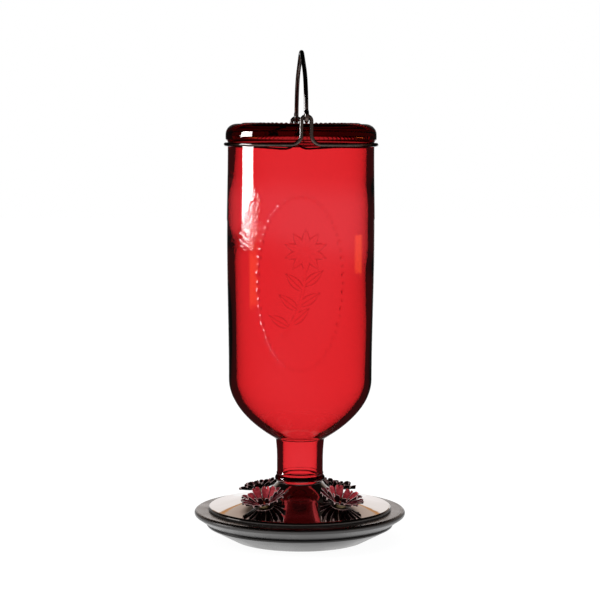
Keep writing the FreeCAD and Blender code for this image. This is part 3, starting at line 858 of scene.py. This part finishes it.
# Mixes the painted shade into the glass colour on the relief's outlines.
ruby_color = ruby_nodes.new("ShaderNodeMix")
ruby_color.data_type = "RGBA"
ruby_tree.links.new(ruby_edge_shade.outputs["Fac"], ruby_color.inputs["Factor"])
ruby_color.inputs["A"].default_value = RUBY_CLEAR
ruby_color.inputs["B"].default_value = RUBY_EDGE_SHADE
ruby_tree.links.new(ruby_color.outputs["Result"], ruby_shader.inputs["Base Color"])
ruby_shader.inputs["Roughness"].default_value = 0.0
ruby_shader.inputs["Transmission Weight"].default_value = 1.0
ruby_shader.inputs["IOR"].default_value = 1.5
ruby_place = object_place(ruby_tree)
ruby_axes = split_axes(ruby_tree, ruby_place)
ruby_skin = ruby_nodes.new("ShaderNodeTexNoise")
ruby_skin.inputs["Scale"].default_value = GLASS_SKIN[0]
ruby_tree.links.new(ruby_place, ruby_skin.inputs["Vector"])
rough_slant = tree_math(
    ruby_tree, "SUBTRACT", ruby_axes["X"], tree_product(ruby_tree, ruby_axes["Z"], ROUGH_SLANT))
rough_area = tree_step(ruby_tree, ruby_axes["Z"], *ROUGH_FOOT, SKIN_CALM, 1.0)
for rough_place, rough_ends, rough_from, rough_to in (
        (ruby_axes["Z"], ROUGH_TOP, 1.0, SKIN_CALM),
        (rough_slant, ROUGH_LEFT, SKIN_CALM, 1.0),
        (ruby_axes["X"], ROUGH_RIGHT, 1.0, SKIN_CALM),
        (ruby_axes["Y"], ROUGH_FRONT, 1.0, SKIN_CALM)):
    rough_side = tree_step(ruby_tree, rough_place, *rough_ends, rough_from, rough_to)
    rough_area = tree_math(ruby_tree, "MINIMUM", rough_area, rough_side)
tree_bump(
    ruby_tree, ruby_skin.outputs["Fac"], rough_area, GLASS_SKIN[1], ruby_shader.inputs["Normal"])
ruby_depth = ruby_nodes.new("ShaderNodeVolumeAbsorption")
ruby_depth.inputs["Color"].default_value = RUBY_DEPTH
ruby_depth.inputs["Density"].default_value = RUBY_DENSITY
ruby_tree.links.new(ruby_depth.outputs[0], ruby_nodes["Material Output"].inputs["Volume"])
bottle.data.materials.append(ruby)
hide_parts("bottle")
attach(bottle, "bottle")

# Hanger ring: one steel wire bent round the bottle's waist, welded end to end.
# In front and behind it stands up as a narrow loop that carries the bail.
WIRE_SIDES = 20
BEND_STEP = 7.0
WIRE_MERGED = 0.01
WIRE_SMOOTH = math.radians(50)
RING_WIRE = 2.0
RING_RADIUS = 38.15
RING_HEIGHT = 202.1
LOOP_Y = 39.3
LOOP_HALF = 2.4
LOOP_BEND = 5.1
LOOP_AXIS = 213.6
ARC_STEPS = 24


def bent_points(corners, bends):
    """Points along straight runs between corners, each inner corner bent to its own radius."""
    points = [corners[0]]
    for before, corner, after, bend in zip(corners, corners[1:], corners[2:], bends):
        arriving = (corner - before).normalized()
        leaving = (after - corner).normalized()
        turn = arriving.angle(leaving)
        inward = (leaving - arriving * math.cos(turn)).normalized()
        centre = corner - arriving * (bend * math.tan(turn / 2)) + inward * bend
        steps = math.ceil(math.degrees(turn) / BEND_STEP)
        for step in range(steps + 1):
            angle = turn * step / steps
            points.append(
                centre - inward * (bend * math.cos(angle)) + arriving * (bend * math.sin(angle)))
    points.append(corners[-1])
    return points


def wire_piece(name, path, outward, diameter, closed):
    """Draws a straight tube ring by ring and bends it along the path."""
    fill = "NOTHING" if closed else "NGON"
    bpy.ops.object.select_all(action="DESELECT")
    bpy.ops.mesh.primitive_circle_add(
        vertices=WIRE_SIDES, radius=diameter / 2 * MM, fill_type=fill)
    piece = bpy.context.object
    piece.name = name
    bpy.ops.object.mode_set(mode="EDIT")
    bpy.ops.mesh.select_mode(type="VERT")
    bpy.ops.mesh.select_all(action="SELECT")
    for step in range(len(path) - 1):
        bpy.ops.mesh.extrude_region_move(TRANSFORM_OT_translate={"value": (0.0, 0.0, MM)})
    bpy.ops.object.mode_set(mode="OBJECT")
    points = mesh_points(piece)
    for index, spot in enumerate(points):
        ring = round(spot[2])
        before = path[max(ring - 1, 0)]
        after = path[min(ring + 1, len(path) - 1)]
        if closed and ring in (0, len(path) - 1):
            before, after = path[-2], path[1]
        along = (after - before).normalized()
        out = outward(path[ring])
        out = (out - along * out.dot(along)).normalized()
        aside = along.cross(out)
        points[index] = path[ring] + out * spot[0] + aside * spot[1]
    set_mesh_points(piece, points)
    bpy.ops.object.mode_set(mode="EDIT")
    bpy.ops.mesh.select_all(action="SELECT")
    bpy.ops.mesh.remove_doubles(threshold=WIRE_MERGED * MM)
    bpy.ops.mesh.normals_make_consistent(inside=False)
    bpy.ops.object.mode_set(mode="OBJECT")
    bpy.ops.object.shade_smooth_by_angle(angle=WIRE_SMOOTH)
    return piece


def half_ring(turned):
    """From +X round the front to -X, up and down the loop; turned half round for the back."""
    reach = math.hypot(LOOP_HALF, LOOP_Y)
    leave = math.pi - math.asin(RING_RADIUS / reach) - math.atan2(LOOP_Y, LOOP_HALF)
    path = []
    for step in range(ARC_STEPS):
        angle = (math.pi / 2 - leave) * step / ARC_STEPS
        path.append(Vector((
            RING_RADIUS * math.cos(angle), -RING_RADIUS * math.sin(angle), RING_HEIGHT)))
    start = Vector((RING_RADIUS * math.sin(leave), -RING_RADIUS * math.cos(leave), RING_HEIGHT))
    foot = Vector((LOOP_HALF, -LOOP_Y, RING_HEIGHT))
    head = Vector((LOOP_HALF, -LOOP_Y, LOOP_AXIS))
    path += bent_points([start, foot, head], [LOOP_BEND])[:-1]
    for step in range(ARC_STEPS // 2 + 1):
        angle = math.pi * step / ARC_STEPS
        path.append(Vector((
            LOOP_HALF * math.cos(angle), -LOOP_Y, LOOP_AXIS + LOOP_HALF * math.sin(angle))))
    mirrored = [Vector((-spot.x, spot.y, spot.z)) for spot in reversed(path[:-1])]
    path += mirrored[:-1]
    side = -1 if turned else 1
    return [Vector((side * spot.x, side * spot.y, spot.z)) for spot in path]


def from_axis(spot):
    return Vector((spot.x, spot.y, 0.0)).normalized()


ring_path = half_ring(False) + [Vector((-RING_RADIUS, 0.0, RING_HEIGHT))]
ring_path = ring_path[:-1] + half_ring(True)
ring_path.append(ring_path[0].copy())
ring = wire_piece("hanger_wire", ring_path, from_axis, RING_WIRE, True)
wire_metal = finish(
    "wire_metal", dark=(0.05, 0.034, 0.03), light=(0.17, 0.125, 0.11), rough=(0.1, 0.2),
    metallic=1.0, group=fine_grain, settings={"Scale": 900.0, "Strength": 0.12},
    mask_name="Patches")
wire_shader = wire_metal.node_tree.nodes["Principled BSDF"]
wire_shader.inputs["Specular Tint"].default_value = (0.06, 0.045, 0.04, 1.0)
wire_shader.inputs["Coat Weight"].default_value = 1.0
wire_shader.inputs["Coat Roughness"].default_value = 0.0
ring.data.materials.append(wire_metal)
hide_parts("hanger_ring")
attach(ring, "bottle")

# Bail: one steel wire, thicker than the ring's, bent to a pointed arch.
# Each end is rolled into an eye round one loop of the ring.
BAIL_WIRE = 2.2
BAIL_TOP = 249.7
BAIL_SLOPE = math.radians(26.0)
BAIL_BENDS = (25.0, 16.0, 25.0)
LOOP_TOP = 216.0
EYE_RADIUS = 2.4
EYE_TURN = 255
EYE_STEP = 15


def eye_points(side):
    points = []
    for degrees in range(EYE_TURN, 0, -EYE_STEP):
        angle = math.radians(degrees)
        points.append(Vector((
            0.0, side * (LOOP_Y - EYE_RADIUS * math.cos(angle)),
            LOOP_TOP - EYE_RADIUS * math.sin(angle))))
    return points


bail_leg = LOOP_Y - EYE_RADIUS
bail_peak = BAIL_TOP - BAIL_WIRE / 2 + BAIL_BENDS[1] * (1 / math.cos(BAIL_SLOPE) - 1)
bail_shoulder = bail_peak - bail_leg * math.tan(BAIL_SLOPE)
bail_corners = [
    Vector((0.0, -bail_leg, LOOP_TOP)), Vector((0.0, -bail_leg, bail_shoulder)),
    Vector((0.0, 0.0, bail_peak)), Vector((0.0, bail_leg, bail_shoulder)),
    Vector((0.0, bail_leg, LOOP_TOP))]
bail_path = eye_points(-1) + bent_points(bail_corners, BAIL_BENDS) + eye_points(1)[::-1]
bail = wire_piece("bail_wire", bail_path, lambda spot: Vector((1.0, 0.0, 0.0)), BAIL_WIRE, False)
bail.data.materials.append(wire_metal)
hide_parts("bail")
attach(bail, "bail")

# Eyelets: pale brass tubes that hold the flowers, with a washer below the cover.
# They keep the CAD solids.
eyelet = finish(
    "eyelet_metal", dark=(0.62, 0.47, 0.2), light=(0.86, 0.72, 0.42), rough=(0.2, 0.4),
    metallic=1.0, group=fine_grain, settings={"Scale": 600.0, "Strength": 0.1},
    mask_name="Patches")
for number in range(1, 5):
    dress(eyelet, f"port_tube_{number}", f"port_washer_{number}")

# Flowers: two layers of thin sheet cut into petals, dished and curled by hand, then lacquered.
# Inside they are clear red over metal; the cut edges are worn pale and the undersides nearly black.
SHEET = 0.34
SHEET_SMOOTH = math.radians(40)
PORT_REACH = 27.112
PORT_HEIGHT = 21.228
PORT_TILT = math.radians(16.27)
PORT_TURNS = (45.0, 135.0, 225.0, 315.0)
FLOWER_TURN = 31.0
PETAL_CUTS = (6, 12)
PETAL_FOOT = 0.38
PETAL_WIDEST = 0.62
PETAL_CURLS = 0.72
PETAL_ROUND = 0.29
PETAL_END = 0.04
PETAL_CUP = (0.8, 1.5)
PETAL_RIPPLE = (0.12, 9)
PETAL_SWAY = 0.35
LONGER = 0.04
HIGHER = 0.14
CURLIER = 0.5
RISE_RHYTHM = (2.4, 0.7)
CURL_RHYTHM = 1.9
SWAY_RHYTHM = 1.7
DISC_SIDES = 48
DISC_LOWER = 0.02
DISC_HOLE = 2.5
OUTER_RING = {
    "count": 16, "root": 3.4, "tip": 11.2, "base": 1.25, "half_width": 1.3, "curl": 6.0,
    "steep": 1.35, "disc": 4.6}
INNER_CUP = {
    "count": 8, "root": 3.6, "tip": 7.9, "base": 1.75, "curl": 9.0, "steep": 0.9, "disc": 4.4}

lacquer = finish(
    "red_lacquer", dark=(0.42, 0.02, 0.035), light=(0.9, 0.12, 0.15), rough=(0.12, 0.24),
    metallic=0.55, group=fine_grain, settings={"Scale": 420.0, "Strength": 0.25},
    mask_name="Grain")
# A darker copy of the red lacquer, painted shade: the outer petals and the back flowers, which face
# away from the light.
painted_shade_lacquer = finish(
    "painted_shade_lacquer", dark=(0.12, 0.01, 0.02), light=(0.5, 0.07, 0.1), rough=(0.16, 0.34),
    metallic=0.5, group=fine_grain, settings={"Scale": 420.0, "Strength": 0.25},
    mask_name="Grain")
underside = finish(
    "dark_underside", dark=(0.012, 0.006, 0.006), light=(0.035, 0.014, 0.014), rough=(0.3, 0.5),
    metallic=0.6, group=fine_grain, settings={"Scale": 900.0, "Strength": 0.3},
    mask_name="Grain")
worn_edge = finish(
    "worn_edge", dark=(0.45, 0.2, 0.2), light=(0.95, 0.75, 0.73), rough=(0.2, 0.4),
    metallic=0.5, group=fine_grain, settings={"Scale": 1200.0, "Strength": 0.2},
    mask_name="Grain")


def petal(index, count, root, tip, base, rise, half_width, curl, steep):
    """One petal: a flat grid, shaped a little unlike the next and turned to its place."""
    bpy.ops.object.select_all(action="DESELECT")
    bpy.ops.mesh.primitive_grid_add(
        x_subdivisions=PETAL_CUTS[0], y_subdivisions=PETAL_CUTS[1], size=2 * MM)
    piece = bpy.context.object
    points = mesh_points(piece)
    across = points[:, 0]
    along = np.clip((points[:, 1] + 1) / 2, 0, 1)
    past_curl = np.clip(along - PETAL_CURLS, 0, 1)
    own_rise = math.sin(RISE_RHYTHM[0] * index + RISE_RHYTHM[1])
    widening = np.sin(np.pi / 2 * np.clip(along / PETAL_WIDEST, 0, 1))
    end = np.sqrt(np.clip(
        1 - np.clip((along - PETAL_CURLS) / PETAL_ROUND, 0, 1) ** 2, PETAL_END, 1))
    half = half_width * (PETAL_FOOT + (1 - PETAL_FOOT) * widening)
    aside = across * half * end
    height = base + rise * (1 + HIGHER * own_rise) * along ** steep
    height -= curl * past_curl ** 2 * (1 + CURLIER * math.cos(CURL_RHYTHM * index))
    height += PETAL_CUP[0] * np.abs(across) ** PETAL_CUP[1] * half * along
    height += PETAL_RIPPLE[0] * np.sin(PETAL_RIPPLE[1] * along + index) * np.abs(across) * along
    points[:, 0] = root + (tip - root) * along * (1 + LONGER * own_rise)
    points[:, 1] = PETAL_SWAY * math.sin(SWAY_RHYTHM * index) * along ** 2 - aside
    points[:, 2] = height
    turn = 2 * math.pi * (index + 0.5) / count
    points[:, :2] = points[:, :2] @ np.array(
        [[math.cos(turn), math.sin(turn)], [-math.sin(turn), math.cos(turn)]])
    set_mesh_points(piece, points)
    return piece


def flower_layer(name, skin, disc, **shape):
    """A ring of petals with its disc, joined and given the sheet's thickness."""
    petals = [petal(index, **shape) for index in range(shape["count"])]
    bpy.ops.object.select_all(action="DESELECT")
    bpy.ops.mesh.primitive_circle_add(
        vertices=DISC_SIDES, radius=disc * MM, fill_type="NGON",
        location=(0, 0, (shape["base"] - DISC_LOWER) * MM))
    layer = bpy.context.object
    bpy.ops.object.transform_apply(location=True, rotation=True, scale=True)
    bpy.ops.object.mode_set(mode="EDIT")
    bpy.ops.mesh.select_all(action="SELECT")
    bpy.ops.mesh.inset(thickness=(disc - DISC_HOLE) * MM)
    bpy.ops.mesh.delete(type="FACE")
    bpy.ops.object.mode_set(mode="OBJECT")
    layer.name = name
    for piece in petals:
        piece.select_set(True)
    layer.select_set(True)
    bpy.context.view_layer.objects.active = layer
    bpy.ops.object.join()
    for material in (skin, underside, worn_edge):
        layer.data.materials.append(material)
    bpy.ops.object.modifier_add(type="SOLIDIFY")
    thick = layer.modifiers[-1]
    thick.thickness = SHEET * MM
    thick.offset = 0.0
    thick.material_offset = 1
    thick.material_offset_rim = 2
    bpy.ops.object.modifier_apply(modifier=thick.name)
    bpy.ops.object.shade_smooth_by_angle(angle=SHEET_SMOOTH)
    return layer


def set_on_port(layer, number, kind):
    """A copy of a layer with its own mesh, put in place on one port."""
    bpy.ops.object.select_all(action="DESELECT")
    layer.select_set(True)
    bpy.context.view_layer.objects.active = layer
    bpy.ops.object.duplicate(linked=False)
    flower = bpy.context.object
    flower.name = f"petals_{kind}_{number}"
    turn = math.radians(PORT_TURNS[number - 1])
    own_turn = Matrix.Rotation(math.radians(FLOWER_TURN * number), 4, "Z")
    tilt = Matrix.Rotation(PORT_TILT, 4, "Y")
    spot = Matrix.Translation((PORT_REACH * MM, 0.0, PORT_HEIGHT * MM))
    flower.matrix_world = Matrix.Rotation(turn, 4, "Z") @ spot @ tilt @ own_turn
    bpy.ops.object.transform_apply(location=True, rotation=True, scale=True)
    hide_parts(f"flower_{kind}_{number}")
    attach(flower, "cover")


FRONT_LAYERS = (
    flower_layer("outer_front", painted_shade_lacquer, rise=3.0, **OUTER_RING),
    flower_layer("inner_front", lacquer, rise=4.3, half_width=2.0, **INNER_CUP))
# The back flowers take the painted shade copy in both layers.
BACK_LAYERS = (
    flower_layer("outer_back", painted_shade_lacquer, rise=2.2, **OUTER_RING),
    flower_layer("inner_back", painted_shade_lacquer, rise=2.6, half_width=2.3, **INNER_CUP))
for number in range(1, 5):
    for kind, layer in zip(("outer", "inner"), BACK_LAYERS if number < 3 else FRONT_LAYERS):
        set_on_port(layer, number, kind)
bpy.ops.object.select_all(action="DESELECT")
for layer in FRONT_LAYERS + BACK_LAYERS:
    layer.select_set(True)
bpy.ops.object.delete()
